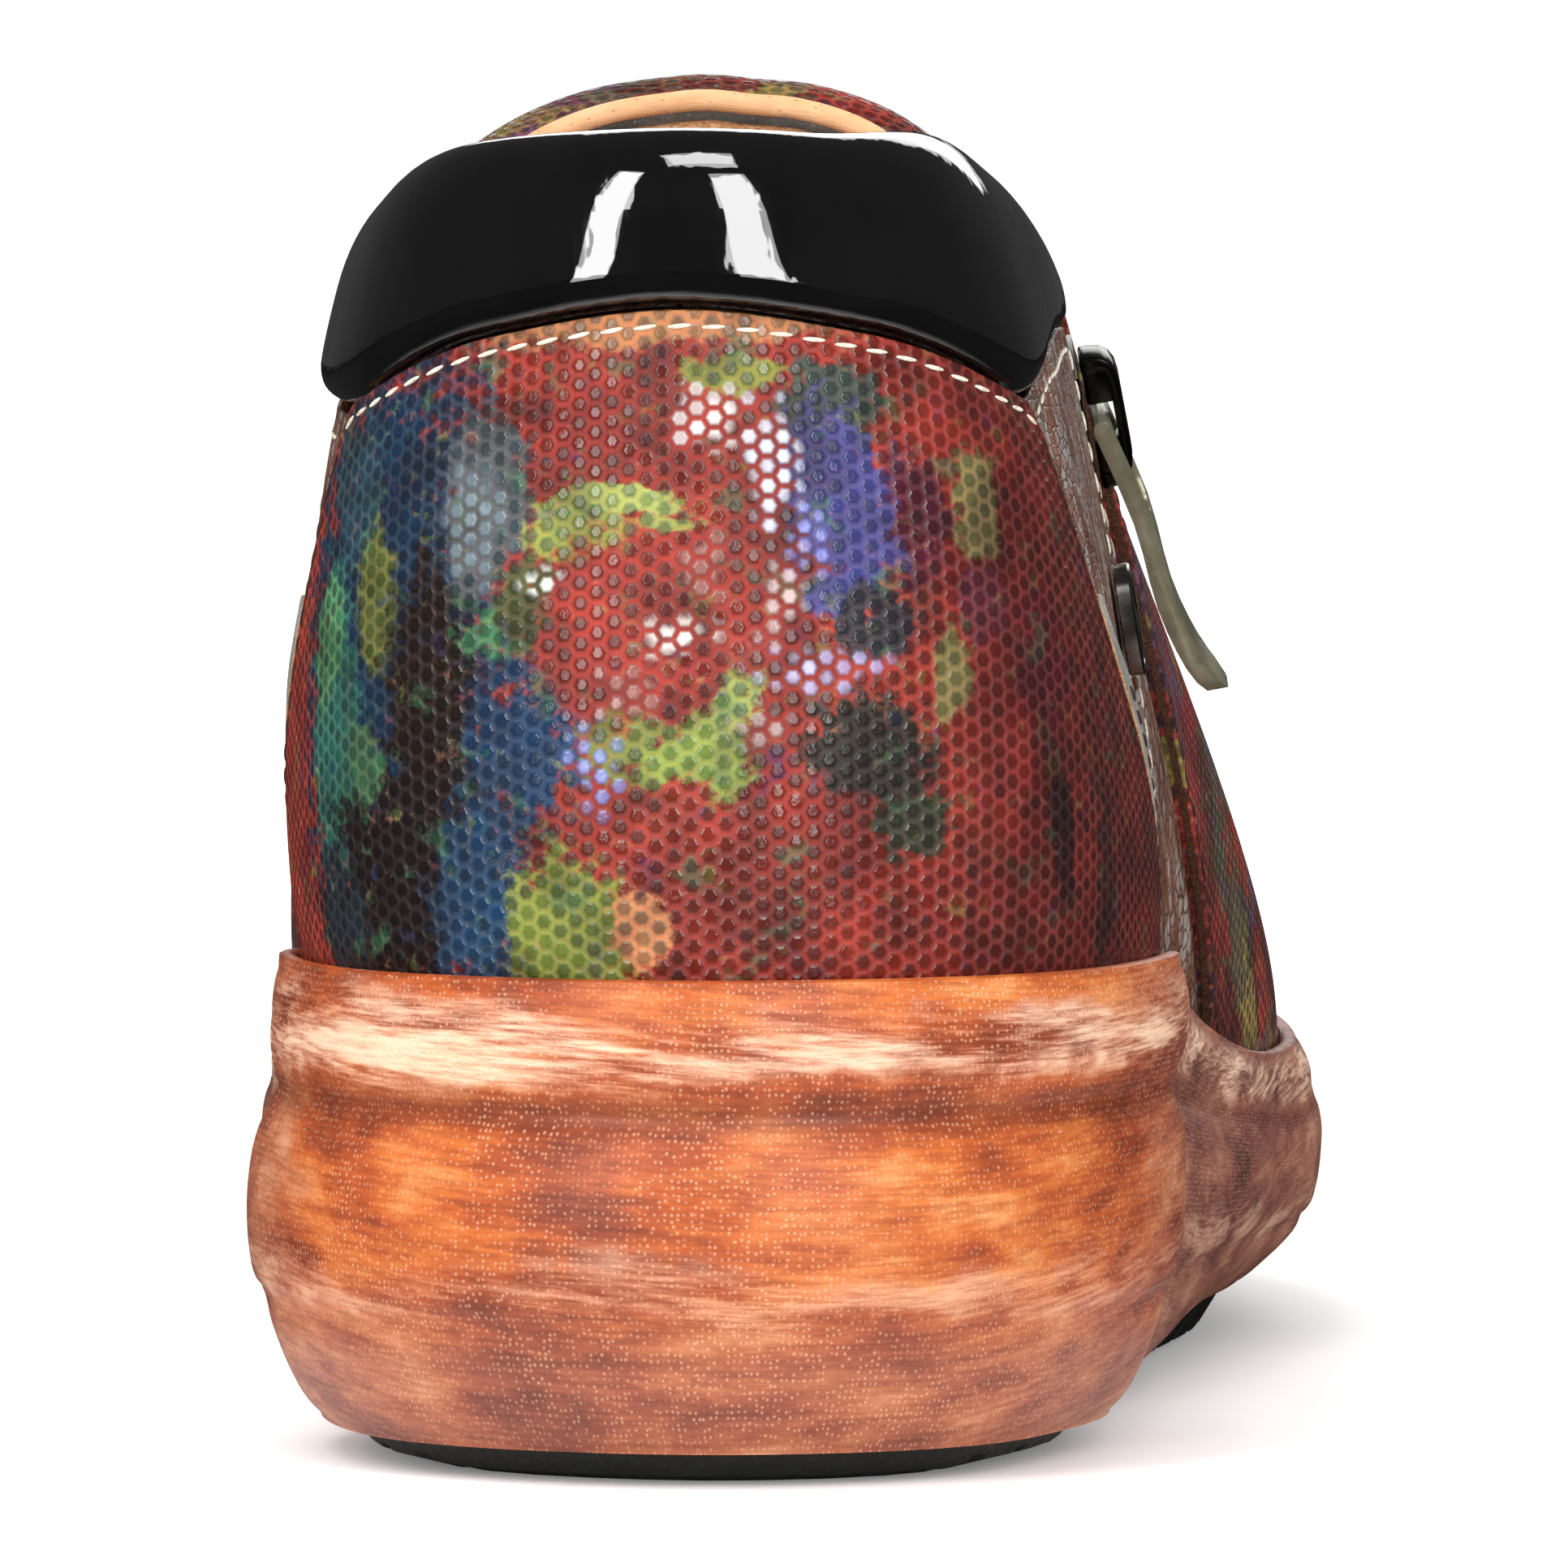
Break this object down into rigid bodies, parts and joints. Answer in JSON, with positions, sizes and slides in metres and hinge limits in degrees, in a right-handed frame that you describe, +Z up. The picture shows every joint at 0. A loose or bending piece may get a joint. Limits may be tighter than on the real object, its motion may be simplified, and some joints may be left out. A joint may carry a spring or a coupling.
{
  "type": "zip shoe with platform sole",
  "caption": "Low leather casual shoe for a right foot, with a padded patent collar, a side zip with a hanging pull, a printed heel counter and a thick moulded sole painted like wood.",
  "frame": {"origin": "on the ground, on the flat of the outsole under the centre of the heel seat", "axes": "+Y from the heel to the toe, +X to the outer side where the zip is, +Z up"},
  "size_m": [0.0979, 0.2704, 0.1136],
  "materials": {
    "painted_sole": "moulded foam sole, hand painted in streaked orange and brown, satin",
    "tread_rubber": "matt moulded rubber",
    "spring_steel": "bare sprung strip",
    "foam": "open foam",
    "fibre_board": "pressed fibre board",
    "lining_leather": "smooth unlacquered lining leather",
    "scaled_leather": "brown scaled leather with a silver-grey rub",
    "pewter_leather": "smooth leather with a pewter sheen",
    "printed_leather": "leather embossed with small hexagons and printed in red, green and blue",
    "patent_leather": "black patent, mirror gloss",
    "zip_tape": "woven tape",
    "zip_metal": "dark gunmetal plating",
    "pull_metal": "worn antique plating"
  },
  "bodies": {
    "shoe": {"platform_sole": "painted_sole", "outsole": "tread_rubber", "shank": "spring_steel", "sole_filler": "foam", "insole_board": "fibre_board", "footbed_foam": "foam", "footbed_cover": "lining_leather", "heel_lining": "lining_leather", "inner_lining": "lining_leather", "outer_lining": "lining_leather", "vamp_lining": "lining_leather", "heel_stiffener": "fibre_board", "toe_puff": "fibre_board", "inner_quarter": "scaled_leather", "outer_rear_quarter": "scaled_leather", "outer_front_quarter": "scaled_leather", "vamp": "pewter_leather", "heel_counter": "printed_leather", "saddle": "printed_leather", "throat_binding": "printed_leather", "outer_side_strip": "pewter_leather", "inner_side_strip": "pewter_leather", "collar_cover": "patent_leather", "collar_foam": "foam", "zip_gusset": "lining_leather", "zip_tape_rear": "zip_tape", "zip_tape_front": "zip_tape", "zip_teeth_rear": "zip_metal", "zip_teeth_front": "zip_metal", "top_stop_rear": "zip_metal", "top_stop_front": "zip_metal", "bottom_stop": "zip_metal", "side_badge": "pull_metal"},
    "slider": {"zip_slider": "zip_metal", "slider_crown": "zip_metal"},
    "pull": {"pull_tab": "pull_metal"}
  },
  "joints": [
    {"name": "zip_slide", "type": "slide", "parent": "shoe", "child": "slider", "axis": [0.165, 0.3138, -0.935], "range_m": [0, 0.0217], "deforming": ["zip_teeth_rear", "zip_teeth_front"]},
    {"name": "pull_swing", "type": "hinge", "parent": "slider", "child": "pull", "pos_m": [0.02951, 0.04762, 0.08445], "axis": [0.0788, -0.9492, -0.3047], "range_deg": [0, 140]}
  ]
}
